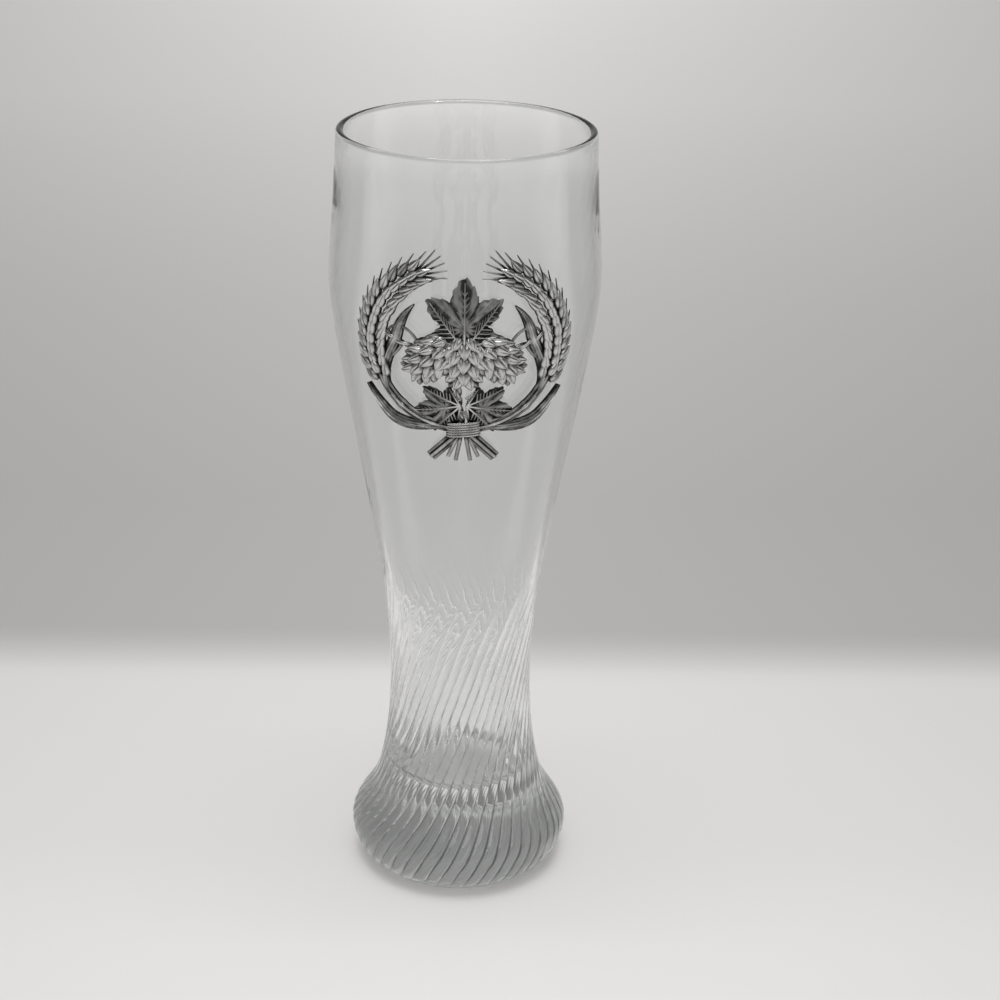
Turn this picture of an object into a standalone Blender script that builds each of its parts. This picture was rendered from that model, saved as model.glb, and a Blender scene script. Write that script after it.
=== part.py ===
"""A tall swirled wheat-beer glass with a cast pewter badge glued to its shoulder.

Metres, +Z up. The origin is the middle of the flat underside of the foot, and the badge faces -Y.
Heights on the glass are rises, each measured from the ring named just before it.
"""

import math

import bmesh
import bpy
import numpy as np

for leftover in list(bpy.data.objects):
    bpy.data.objects.remove(leftover, do_unlink=True)

# Outside of the glass, over the ribs, from the table up
FOOT_CONTACT_RADIUS = 0.0268
FOOT_RADIUS = 0.0355
FOOT_RISE = 0.0123
SHANK_RADIUS = 0.03125
SHANK_RISE = 0.0092
NECK_RADIUS = 0.0272
NECK_RISE = 0.0075
COVE_RADIUS = 0.0257
COVE_RISE = 0.0055
WAIST_RADIUS = 0.0228
WAIST_RISE = 0.0278
FLARE_RADIUS = 0.02535
FLARE_RISE = 0.0377
CONE_RADIUS = 0.0339
CONE_RISE = 0.050
BEND_RADIUS = 0.0399
BEND_RISE = 0.035
SHOULDER_RADIUS = 0.04135
SHOULDER_RISE = 0.0125
COLLAR_RADIUS = 0.0402
COLLAR_RISE = 0.0225
BEAD_RADIUS = 0.03913
BEAD_RISE = 0.020
LIP_RADIUS = 0.0389
LIP_RISE = 0.005

# Inside of the glass, from the lip down
LIP_WALL = 0.0025
BEAD_WALL = 0.0020
BOWL_WALL = 0.0022
FLARE_WALL = 0.0026
WAIST_WALL = 0.0035
WELL_WALL = 0.0045
WELL_RISE = 0.0055
FLOOR_WALL = 0.0060
FLOOR_THICKNESS = 0.0300
FLOOR_FILLET_RISE = 0.0050
FLOOR_FILLET_RUN = 0.0100

# Swirled ribs, which end at a rise above the waist
RIB_COUNT = 48
RIB_DEPTH = 0.0006
RIB_LEAD = 0.41
RIB_FOOT_FADE = 0.011
RIB_END_RISE = 0.0437
RIB_END_FADE = 0.015

# Badge: two ears of wheat tied into a wreath, round a sprig of hops.
# EAR_START, EAR_TURN and GLUE_EAR_PLACE are degrees round the wreath from its foot.
SEAT_GAP = 0.0003
BADGE_DROP = 0.0105
WREATH_HALF_WIDTH = 0.028
WREATH_HALF_HEIGHT = 0.0255
WREATH_LIFT = 0.003
STALK_HALF_WIDTH = 0.0012
STALK_HEIGHT = 0.0018
STRAW_LENGTH = 0.0125
BINE_HALF_WIDTH = 0.00095
BINE_HEIGHT = 0.00145
BAR_EDGE = 0.6
EAR_START = 62
EAR_TURN = 96
EAR_HALF_WIDTH = 0.0053
EAR_HEIGHT = 0.0028
EAR_EDGE = 0.0012
EAR_ROWS = 11
AWN_LENGTH = 0.0085
AWN_HALF_WIDTH = 0.0006
SPRIG_LIFT = 0.0055
TOP_LEAF_LENGTH = 0.0225
SIDE_LEAF_LENGTH = 0.0140
LEAF_HEIGHT = 0.0021
LEAF_EDGE = 0.0010
BLADE_HALF_WIDTH = 0.0019
HOP_HALF_WIDTH = 0.0056
HOP_LENGTH = 0.0160
HOP_HEIGHT = 0.0040
BAND_HALF_WIDTH = 0.0050
BAND_HALF_HEIGHT = 0.0021
BAND_HEIGHT = 0.0030

# Clear glue behind the badge
GLUE_THICKNESS = 0.0004
GLUE_SPRIG_HALF_WIDTH = 0.0065
GLUE_SPRIG_HALF_HEIGHT = 0.0090
GLUE_EAR_INSET = 0.0018
GLUE_EAR_HALF_LENGTH = 0.009
GLUE_EAR_PLACE = EAR_START + 34

# Fineness of the meshes
POINTS_PER_RIB = 2
FOOT_EDGE_STEPS = 6
LIP_STEPS = 6
FILLET_STEPS = 5
RIBBED_STEP = 0.0048
PLAIN_STEP = 0.008
BENT_STRIP = 0.006
BACK_STEP = 0.0001

FOOT_Z = FOOT_RISE
SHANK_Z = FOOT_Z + SHANK_RISE
NECK_Z = SHANK_Z + NECK_RISE
COVE_Z = NECK_Z + COVE_RISE
WELL_Z = COVE_Z + WELL_RISE
WAIST_Z = COVE_Z + WAIST_RISE
FLARE_Z = WAIST_Z + FLARE_RISE
CONE_Z = FLARE_Z + CONE_RISE
BEND_Z = CONE_Z + BEND_RISE
SHOULDER_Z = BEND_Z + SHOULDER_RISE
COLLAR_Z = SHOULDER_Z + COLLAR_RISE
BEAD_Z = COLLAR_Z + BEAD_RISE
LIP_Z = BEAD_Z + LIP_RISE
RIB_END_Z = WAIST_Z + RIB_END_RISE
BADGE_Z = SHOULDER_Z - BADGE_DROP
BADGE_STANDOFF = SEAT_GAP + GLUE_THICKNESS + SEAT_GAP


def smooth_curve(places, values, level_start):
    """An even cubic through the points, level or free at the first one and free at the last."""
    places = np.array(places)
    values = np.array(values)
    gaps = np.diff(places)
    slopes = np.diff(values) / gaps
    count = len(places)
    matrix = np.zeros((count, count))
    right_side = np.zeros(count)
    matrix[0, 0] = matrix[-1, -1] = 1.0
    if level_start:
        matrix[0, :2] = 2 * gaps[0], gaps[0]
        right_side[0] = 6 * slopes[0]
    for i in range(1, count - 1):
        matrix[i, i - 1 : i + 2] = gaps[i - 1], 2 * (gaps[i - 1] + gaps[i]), gaps[i]
        right_side[i] = 6 * (slopes[i] - slopes[i - 1])
    bends = np.linalg.solve(matrix, right_side)

    def value(place):
        i = int(np.clip(np.searchsorted(places, place) - 1, 0, count - 2))
        before = place - places[i]
        after = places[i + 1] - place
        gap = gaps[i]
        curved = (bends[i] * after**3 + bends[i + 1] * before**3) / (6 * gap)
        low = (values[i] / gap - bends[i] * gap / 6) * after
        high = (values[i + 1] / gap - bends[i + 1] * gap / 6) * before
        return float(curved + low + high)

    return value


above_foot = smooth_curve(
    [FOOT_Z, SHANK_Z, NECK_Z, COVE_Z, WAIST_Z, FLARE_Z, CONE_Z, BEND_Z, SHOULDER_Z, COLLAR_Z, BEAD_Z, LIP_Z],
    [
        FOOT_RADIUS, SHANK_RADIUS, NECK_RADIUS, COVE_RADIUS, WAIST_RADIUS, FLARE_RADIUS,
        CONE_RADIUS, BEND_RADIUS, SHOULDER_RADIUS, COLLAR_RADIUS, BEAD_RADIUS, LIP_RADIUS,
    ],
    level_start=True,
)


def outside_radius(z):
    """Radius over the ribs: a rounded foot edge, then one even curve up to the lip."""
    if z < FOOT_Z:
        below = (FOOT_Z - z) / FOOT_Z
        return FOOT_CONTACT_RADIUS + (FOOT_RADIUS - FOOT_CONTACT_RADIUS) * math.sqrt(1 - below**2)
    return above_foot(z)


WALLS = {
    FLOOR_THICKNESS + FLOOR_FILLET_RISE: FLOOR_WALL,
    WELL_Z: WELL_WALL,
    WAIST_Z: WAIST_WALL,
    FLARE_Z: FLARE_WALL,
    CONE_Z: BOWL_WALL,
    BEND_Z: BOWL_WALL,
    SHOULDER_Z: BOWL_WALL,
    COLLAR_Z: BOWL_WALL,
    BEAD_Z: BEAD_WALL,
    LIP_Z: LIP_WALL,
}
inside_radius = smooth_curve(
    list(WALLS), [outside_radius(z) - wall for z, wall in WALLS.items()], level_start=False
)


def smooth_step(share):
    share = min(max(share, 0.0), 1.0)
    return share * share * (3 - 2 * share)


def rib_depth(z):
    """How deep the grooves between the ribs are at a height: they fade out at the table and in the bowl."""
    return RIB_DEPTH * smooth_step(z / RIB_FOOT_FADE) * smooth_step((RIB_END_Z - z) / RIB_END_FADE)


def heights_between(low, high, step):
    return list(np.linspace(low, high, max(2, round((high - low) / step) + 1)))


def paint(name, colour, roughness, metallic, transmission=0.0):
    material = bpy.data.materials.new(name)
    material.use_nodes = True
    shader = material.node_tree.nodes["Principled BSDF"]
    shader.inputs["Base Color"].default_value = (*colour, 1.0)
    shader.inputs["Roughness"].default_value = roughness
    shader.inputs["Metallic"].default_value = metallic
    shader.inputs["Transmission Weight"].default_value = transmission
    return material


def add_object(name, shape, material):
    mesh = bpy.data.meshes.new(name)
    shape.to_mesh(mesh)
    shape.free()
    mesh.shade_smooth()
    mesh.set_sharp_from_angle(angle=math.radians(40))
    mesh.materials.append(material)
    thing = bpy.data.objects.new(name, mesh)
    bpy.context.scene.collection.objects.link(thing)
    return thing


# Glass vessel


def add_ring(shape, radii, z, turn):
    """Points round the axis, counted from the front, -Y, towards +X."""
    ring = []
    for i, radius in enumerate(radii):
        angle = turn + 2 * math.pi * i / len(radii)
        ring.append(shape.verts.new((radius * math.sin(angle), -radius * math.cos(angle), z)))
    return ring


def join_rings(shape, lower, upper):
    """Skin between two rings; the lower one may have twice the points of the upper one."""
    count = len(upper)
    if len(lower) == count:
        for i in range(count):
            following = (i + 1) % count
            shape.faces.new((lower[i], lower[following], upper[following], upper[i]))
        return
    for i in range(count):
        following = (i + 1) % count
        left, middle, right = lower[2 * i], lower[2 * i + 1], lower[2 * following]
        shape.faces.new((left, middle, upper[i]))
        shape.faces.new((middle, upper[following], upper[i]))
        shape.faces.new((middle, right, upper[following]))


def ribbed_radii(z):
    radii = []
    for i in range(RIB_COUNT * POINTS_PER_RIB):
        groove = (1 + math.cos(2 * math.pi * i / POINTS_PER_RIB)) / 2
        radii.append(outside_radius(z) - rib_depth(z) * groove)
    return radii


def make_vessel():
    shape = bmesh.new()
    plain_points = RIB_COUNT * POINTS_PER_RIB // 2
    end_turn = 2 * math.pi * RIB_END_Z / RIB_LEAD
    edge_turns = np.linspace(0, math.pi / 2, FOOT_EDGE_STEPS + 1)[:-1]
    ribbed = [FOOT_Z * (1 - math.cos(turn)) for turn in edge_turns]
    ribbed += heights_between(FOOT_Z, RIB_END_Z, RIBBED_STEP)
    rings = [add_ring(shape, ribbed_radii(z), z, 2 * math.pi * z / RIB_LEAD) for z in ribbed]

    bead = LIP_WALL / 2
    for z in heights_between(RIB_END_Z, LIP_Z - bead, PLAIN_STEP)[1:]:
        rings.append(add_ring(shape, [outside_radius(z)] * plain_points, z, end_turn))
    bead_middle = outside_radius(LIP_Z - bead) - bead
    for turn in np.linspace(0, math.pi, LIP_STEPS + 1)[1:-1]:
        radius = bead_middle + bead * math.cos(turn)
        z = LIP_Z - bead + bead * math.sin(turn)
        rings.append(add_ring(shape, [radius] * plain_points, z, end_turn))

    wall_foot = FLOOR_THICKNESS + FLOOR_FILLET_RISE
    floor_radius = inside_radius(wall_foot) - FLOOR_FILLET_RUN
    for z in reversed(heights_between(wall_foot, LIP_Z - bead, PLAIN_STEP)):
        rings.append(add_ring(shape, [inside_radius(z)] * plain_points, z, end_turn))
    for turn in np.linspace(0, math.pi / 2, FILLET_STEPS + 1)[1:]:
        radius = floor_radius + FLOOR_FILLET_RUN * math.cos(turn)
        z = wall_foot - FLOOR_FILLET_RISE * math.sin(turn)
        rings.append(add_ring(shape, [radius] * plain_points, z, end_turn))

    for lower, upper in zip(rings, rings[1:]):
        join_rings(shape, lower, upper)
    shape.faces.new(list(reversed(rings[0])))
    shape.faces.new(rings[-1])
    add_object("glass_vessel", shape, paint("clear_glass", (0.93, 0.96, 0.95), 0.02, 0.0, 1.0))


make_vessel()


# Relief shapes, made flat: x across the badge, y up it and z out from its back


def strip_solid(line, half_widths, heights, edge_share):
    """A ridged bar along a line of points, with a flat back."""
    shape = bmesh.new()
    line = np.array(line)
    along = np.gradient(line, axis=0)
    along /= np.linalg.norm(along, axis=1)[:, None]
    corners = ((1, 0), (1, edge_share), (0, 1), (-1, edge_share), (-1, 0))
    sections = []
    for (x, y), (dx, dy), half, height in zip(line, along, half_widths, heights):
        section = []
        for side, up in corners:
            place = (x + dy * half * side, y - dx * half * side, height * up)
            section.append(shape.verts.new(place))
        sections.append(section)
    for near, far in zip(sections, sections[1:]):
        for i in range(len(near)):
            following = (i + 1) % len(near)
            shape.faces.new((near[i], near[following], far[following], far[i]))
    shape.faces.new(list(reversed(sections[0])))
    shape.faces.new(sections[-1])
    bmesh.ops.recalc_face_normals(shape, faces=shape.faces)
    return shape


def dome_solid(outline, middle, rings):
    """A raised plate in an outline: rings are (share of the outline, height), from the edge in."""
    shape = bmesh.new()
    levels = [[shape.verts.new((x, y, 0)) for x, y in outline]]
    for share, height in rings:
        level = []
        for x, y in outline:
            place = (middle[0] + (x - middle[0]) * share, middle[1] + (y - middle[1]) * share, height)
            level.append(shape.verts.new(place))
        levels.append(level)
    for lower, upper in zip(levels, levels[1:]):
        for i in range(len(outline)):
            following = (i + 1) % len(outline)
            shape.faces.new((lower[i], lower[following], upper[following], upper[i]))
    shape.faces.new(list(reversed(levels[0])))
    shape.faces.new(levels[-1])
    bmesh.ops.recalc_face_normals(shape, faces=shape.faces)
    return shape


def turned(points, at, angle):
    """Points of a motif that grows along +Y, turned clockwise by an angle and moved to a place."""
    cos, sin = math.cos(angle), math.sin(angle)
    return [(at[0] + x * cos + y * sin, at[1] - x * sin + y * cos) for x, y in points]


def wreath_point(turn, side):
    """The wreath's middle line: turn is 0 at its foot and 180 degrees at its top."""
    turn = math.radians(turn)
    return (side * WREATH_HALF_WIDTH * math.sin(turn), WREATH_LIFT - WREATH_HALF_HEIGHT * math.cos(turn))


def leaf_outline(length):
    """A hop leaf with five pointed lobes; its stalk end is at the origin and its tip on +Y."""
    lobes = ((0, 1.0), (54, 0.92), (-54, 0.92), (110, 0.68), (-110, 0.68))
    middle = 0.34 * length
    reach = length - middle
    outline = []
    for degrees in range(0, 360, 10):
        share = 0.44
        for lobe, size in lobes:
            away = abs((degrees - lobe + 180) % 360 - 180)
            share = max(share, size * (1 - 0.46 * (away / 30) ** 1.15))
        angle = math.radians(degrees)
        outline.append((-reach * share * math.sin(angle), middle + reach * share * math.cos(angle)))
    return outline, (0, middle)


def hop_outline():
    """A hop cone with a toothed edge, broad by its stalk at the origin and pointed at its tip on +Y."""
    outline = []
    for step in range(20):
        angle = 2 * math.pi * step / 20
        bract = 1 + 0.07 * (step % 2)
        half = HOP_HALF_WIDTH * math.sin(angle) * (1 + 0.22 * math.cos(angle)) * bract
        outline.append((half, HOP_LENGTH / 2 * (1 - math.cos(angle))))
    return outline, (0, HOP_LENGTH / 2)


def make_stalk(side):
    """A straw that runs down the side of the wreath and crosses under the band to end past it."""
    line = [wreath_point(turn, side) for turn in np.linspace(EAR_START + 4, 8, 10)]
    foot = wreath_point(0, side)
    for share in (0.35, 0.7, 1.0):
        line.append((-side * 0.75 * STRAW_LENGTH * share, foot[1] - 0.8 * STRAW_LENGTH * share))
    return strip_solid(line, [STALK_HALF_WIDTH] * len(line), [STALK_HEIGHT] * len(line), BAR_EDGE)


def make_straw(angle):
    """A loose straw end that sticks out below the band."""
    start = np.array((0, wreath_point(0, 1)[1] + BAND_HALF_HEIGHT / 2))
    end = start - STRAW_LENGTH * np.array((math.sin(angle), math.cos(angle)))
    half_widths = [0.9 * STALK_HALF_WIDTH] * 4
    return strip_solid(np.linspace(start, end, 4), half_widths, [0.85 * STALK_HEIGHT] * 4, BAR_EDGE)


def make_ear(side):
    """Wheat: rows of kernels that overlap up the ear, so that its edges are toothed."""
    line, half_widths, heights = [], [], []
    for row in range(EAR_ROWS):
        for within, spread in ((0.0, 0.72), (0.8, 1.0)):
            share = (row + within) / EAR_ROWS
            swell = 0.45 + 0.55 * math.sin(math.pi * (0.22 + 0.70 * share))
            line.append(wreath_point(EAR_START + EAR_TURN * share, side))
            half_widths.append(EAR_HALF_WIDTH * swell * spread)
            heights.append(EAR_HEIGHT * (0.62 + 0.38 * spread))
    return strip_solid(line, half_widths, heights, EAR_EDGE / EAR_HEIGHT)


def make_awns(side):
    """Bristles that fan out from the last rows of an ear, each rooted a little further up it."""
    awns = []
    for order, fan in enumerate((24, -24, 0)):
        rooted = EAR_START + EAR_TURN - 14 + 4 * order
        root = np.array(wreath_point(rooted, side))
        ahead = np.array(wreath_point(rooted + 12, side)) - root
        way = math.atan2(ahead[0], ahead[1]) + math.radians(fan) * side
        tip = root + (AWN_LENGTH + EAR_HALF_WIDTH / 2) * np.array((math.sin(way), math.cos(way)))
        widths = AWN_HALF_WIDTH * np.array((1.6, 1.3, 1.0, 0.6))
        heights = [EAR_EDGE * (0.85 + 0.1 * order)] * 4
        awns.append(strip_solid(np.linspace(root, tip, 4), widths, heights, BAR_EDGE))
    return awns


def make_leaf(at, angle, length, height):
    outline, middle = leaf_outline(length)
    rings = ((1.0, LEAF_EDGE), (0.55, (LEAF_EDGE + height) / 2), (0.12, height))
    return dome_solid(turned(outline, at, angle), turned([middle], at, angle)[0], rings)


def make_hop(at, angle, height):
    outline, middle = hop_outline()
    rings = ((1.0, 0.45 * height), (0.78, 0.8 * height), (0.4, height))
    return dome_solid(turned(outline, at, angle), turned([middle], at, angle)[0], rings)


def make_link(start, end, bow):
    """A thin curved bine that ties one part of the casting to another."""
    start = np.array(start)
    end = np.array(end)
    across = np.array((start[1] - end[1], end[0] - start[0]))
    line = []
    for share in np.linspace(0, 1, 7):
        line.append(start + (end - start) * share + across * bow * math.sin(math.pi * share))
    return strip_solid(line, [BINE_HALF_WIDTH] * 7, [BINE_HEIGHT] * 7, BAR_EDGE)


def make_blade(side, first_turn, last_turn, draw):
    """A long grass leaf that leaves the straw and draws away from it, inwards or outwards."""
    line, half_widths = [], []
    for share in np.linspace(0, 1, 11):
        x, y = wreath_point(first_turn + (last_turn - first_turn) * share, side)
        away = 1 - draw * smooth_step(share * 1.6)
        line.append((x * away, WREATH_LIFT + (y - WREATH_LIFT) * away))
        half_widths.append(BLADE_HALF_WIDTH * (0.18 + 0.82 * math.sin(math.pi * (0.12 + 0.86 * share))))
    return strip_solid(line, half_widths, [LEAF_HEIGHT] * 11, LEAF_EDGE / LEAF_HEIGHT)


def make_motifs():
    foot = wreath_point(0, 1)
    heart = (0, SPRIG_LIFT)
    top_root = (0, SPRIG_LIFT - 0.14 * TOP_LEAF_LENGTH)
    motifs = [make_leaf(top_root, 0, TOP_LEAF_LENGTH, LEAF_HEIGHT)]
    motifs.append(make_link(foot, (0, SPRIG_LIFT + 2 * STALK_HALF_WIDTH), 0.05))
    motifs.append(make_hop((0, SPRIG_LIFT + HOP_LENGTH / 8), math.pi, HOP_HEIGHT))
    for side in (-1, 1):
        motifs.append(make_stalk(side))
        motifs.append(make_straw(side * math.radians(16)))
        motifs.append(make_ear(side))
        motifs += make_awns(side)
        motifs.append(make_blade(side, EAR_START - 12, EAR_START + 72, 0.27))
        motifs.append(make_blade(side, 10, EAR_START, -0.22))
        hop_root = (side * 0.7 * HOP_HALF_WIDTH, SPRIG_LIFT)
        motifs.append(make_hop(hop_root, math.pi - side * math.radians(46), 0.88 * HOP_HEIGHT))
        leaf_root = (0, (foot[1] + SPRIG_LIFT - HOP_LENGTH) / 2 + BAND_HALF_HEIGHT)
        leaf_angle = side * math.radians(102)
        motifs.append(make_leaf(leaf_root, leaf_angle, SIDE_LEAF_LENGTH, 0.9 * LEAF_HEIGHT))
        motifs.append(make_link(wreath_point(EAR_START + 42, side), heart, 0.16 * side))
    x, y = BAND_HALF_WIDTH, BAND_HALF_HEIGHT
    band = [(-x, foot[1] - y), (0, foot[1] - 1.15 * y), (x, foot[1] - y)]
    band += [(x, foot[1] + y), (0, foot[1] + 1.15 * y), (-x, foot[1] + y)]
    motifs.append(dome_solid(band, foot, ((1.0, 0.85 * BAND_HEIGHT), (0.7, BAND_HEIGHT))))
    return motifs


def united(motifs):
    """One flat casting from the motifs. No two backs lie in one plane until a last cut trims them level."""
    plain = bpy.data.materials.new("casting_core")
    for step, motif in enumerate(motifs, 1):
        for vert in motif.verts:
            if vert.co.z == 0:
                vert.co.z = -BACK_STEP * step
    trim = bmesh.new()
    bmesh.ops.create_cube(trim, size=1.0)
    bmesh.ops.translate(trim, vec=(0, 0, -0.5), verts=trim.verts)
    things = [add_object(f"motif_{i}", motif, plain) for i, motif in enumerate([*motifs, trim])]
    base, *others, trimmer = things
    joined = bpy.data.collections.new("joined_motifs")
    bpy.context.scene.collection.children.link(joined)
    for other in others:
        joined.objects.link(other)
    union = base.modifiers.new("union", "BOOLEAN")
    union.operation = "UNION"
    union.solver = "EXACT"
    union.operand_type = "COLLECTION"
    union.collection = joined
    level = base.modifiers.new("level_back", "BOOLEAN")
    level.operation = "DIFFERENCE"
    level.solver = "EXACT"
    level.object = trimmer
    bpy.context.view_layer.update()
    graph = bpy.context.evaluated_depsgraph_get()
    shape = bmesh.new()
    shape.from_object(base, graph)
    for thing in things:
        bpy.data.objects.remove(thing, do_unlink=True)
    bpy.data.collections.remove(joined)
    return shape


def wrap_round_glass(shape, standoff):
    """Cut a flat shape into strips and bend it round the bowl, with its back a standoff off the glass."""
    corners = np.array([vert.co[:2] for vert in shape.verts])
    for axis in (0, 1):
        normal = (1, 0, 0) if axis == 0 else (0, 1, 0)
        low, high = corners[:, axis].min(), corners[:, axis].max()
        for place in np.arange(low + BENT_STRIP / 2, high, BENT_STRIP):
            everything = shape.verts[:] + shape.edges[:] + shape.faces[:]
            cut = tuple(place * part for part in normal)
            bmesh.ops.bisect_plane(shape, geom=everything, plane_co=cut, plane_no=normal, dist=1e-6)
    bmesh.ops.triangulate(shape, faces=shape.faces)
    for vert in shape.verts:
        across, up, out = vert.co
        z = BADGE_Z + up
        seat = outside_radius(z) + standoff
        angle = across / seat
        vert.co = ((seat + out) * math.sin(angle), -(seat + out) * math.cos(angle), z)
    return shape


def make_badge():
    casting = wrap_round_glass(united(make_motifs()), BADGE_STANDOFF)
    add_object("pewter_badge", casting, paint("blackened_pewter", (0.42, 0.42, 0.41), 0.42, 1.0))


make_badge()


# Glue pads


def make_pad(name, at, half_width, half_height, material):
    outline = []
    for step in range(20):
        angle = 2 * math.pi * step / 20
        outline.append((at[0] + half_width * math.cos(angle), at[1] + half_height * math.sin(angle)))
    pad = dome_solid(outline, at, ((1.0, GLUE_THICKNESS), (0.5, GLUE_THICKNESS)))
    add_object(name, wrap_round_glass(pad, SEAT_GAP), material)


def make_pads():
    material = paint("clear_glue", (0.9, 0.9, 0.86), 0.25, 0.0, 0.8)
    heart = (0, SPRIG_LIFT)
    make_pad("adhesive_pad_middle", heart, GLUE_SPRIG_HALF_WIDTH, GLUE_SPRIG_HALF_HEIGHT, material)
    ear_width = EAR_HALF_WIDTH - GLUE_EAR_INSET
    for name, side in (("adhesive_pad_left", -1), ("adhesive_pad_right", 1)):
        ear_middle = wreath_point(GLUE_EAR_PLACE, side)
        make_pad(name, ear_middle, ear_width, GLUE_EAR_HALF_LENGTH, material)


make_pads()
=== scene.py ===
"""Looks for a swirled wheat-beer glass with a cast pewter badge, in metres, +Z up, the badge facing -Y."""

import math

import bmesh
import bpy
import numpy as np
from mathutils import Matrix, Vector


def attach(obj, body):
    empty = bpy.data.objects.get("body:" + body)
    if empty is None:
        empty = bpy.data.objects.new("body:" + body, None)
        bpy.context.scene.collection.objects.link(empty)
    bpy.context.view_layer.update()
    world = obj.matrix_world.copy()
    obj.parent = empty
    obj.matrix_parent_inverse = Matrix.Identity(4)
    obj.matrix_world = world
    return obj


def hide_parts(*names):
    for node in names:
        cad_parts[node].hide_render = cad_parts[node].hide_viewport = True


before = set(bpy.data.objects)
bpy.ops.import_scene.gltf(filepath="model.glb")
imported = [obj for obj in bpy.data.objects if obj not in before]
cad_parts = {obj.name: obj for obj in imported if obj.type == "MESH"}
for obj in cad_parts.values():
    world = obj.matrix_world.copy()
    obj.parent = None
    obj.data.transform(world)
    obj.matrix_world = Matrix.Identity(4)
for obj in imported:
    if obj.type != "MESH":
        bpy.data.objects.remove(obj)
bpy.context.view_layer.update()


# Glass vessel: soda-lime glass blown into a swirled mould, so that its thick foot and stem carry ribs
# outside and its inside stays smooth. The cut rim is melted round in a flame. It stands on its own foot.

RING_HEIGHTS = (
    0.0123, 0.0215, 0.0290, 0.0345, 0.0623, 0.1000, 0.1500, 0.1850, 0.1975, 0.2200, 0.2400, 0.2450
)
RING_RADII = (
    0.0355, 0.03125, 0.0272, 0.0257, 0.0228, 0.02535, 0.0339, 0.0399, 0.04135, 0.0402, 0.03913, 0.0389
)
WALLS = (0.0060, 0.0045, 0.0035, 0.0026, 0.0022, 0.0022, 0.0022, 0.0022, 0.0020, 0.0025)
CONTACT_RADIUS = 0.0268
FLOOR_THICKNESS = 0.0300
FLOOR_FILLET_RISE = 0.0050
FLOOR_FILLET_RUN = 0.0100
COVE_HEIGHT = 0.0400
RIB_COUNT = 48
RIB_DEPTH = 0.0006
RIB_LEAD = 0.41
RIB_FOOT_FADE = 0.011
RIB_FOOT_SHARE = 1.9
RIB_END = 0.1060
RIB_END_FADE = 0.015
FOOT_HEIGHT = RING_HEIGHTS[0]
RIM_HEIGHT = RING_HEIGHTS[-1]
RIM_BEAD = WALLS[-1] / 2


def smooth_curve(places, values, level_start=True):
    """An even cubic through the points, level or free at the first one and free at the last."""
    places, values = np.array(places), np.array(values)
    gaps = np.diff(places)
    slopes = np.diff(values) / gaps
    count = len(places)
    matrix, right_side = np.zeros((count, count)), np.zeros(count)
    matrix[0, 0] = matrix[-1, -1] = 1.0
    if level_start:
        matrix[0, :2] = 2 * gaps[0], gaps[0]
        right_side[0] = 6 * slopes[0]
    for i in range(1, count - 1):
        matrix[i, i - 1 : i + 2] = gaps[i - 1], 2 * (gaps[i - 1] + gaps[i]), gaps[i]
        right_side[i] = 6 * (slopes[i] - slopes[i - 1])
    bends = np.linalg.solve(matrix, right_side)

    def value(place):
        place = np.asarray(place, float)
        i = np.clip(np.searchsorted(places, place) - 1, 0, count - 2)
        before, after, gap = place - places[i], places[i + 1] - place, gaps[i]
        curved = (bends[i] * after**3 + bends[i + 1] * before**3) / (6 * gap)
        low = (values[i] / gap - bends[i] * gap / 6) * after
        return curved + low + (values[i + 1] / gap - bends[i + 1] * gap / 6) * before

    return value


outside_radius = smooth_curve(RING_HEIGHTS, RING_RADII)
cavity_heights = np.array((FLOOR_THICKNESS + FLOOR_FILLET_RISE, COVE_HEIGHT, *RING_HEIGHTS[4:]))
inside_radius = smooth_curve(cavity_heights, outside_radius(cavity_heights) - WALLS, level_start=False)


def smooth_step(share):
    share = np.clip(share, 0, 1)
    return share * share * (3 - 2 * share)


def even_steps(low, high, step):
    return np.linspace(low, high, max(2, round(abs(high - low) / step) + 1))


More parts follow.
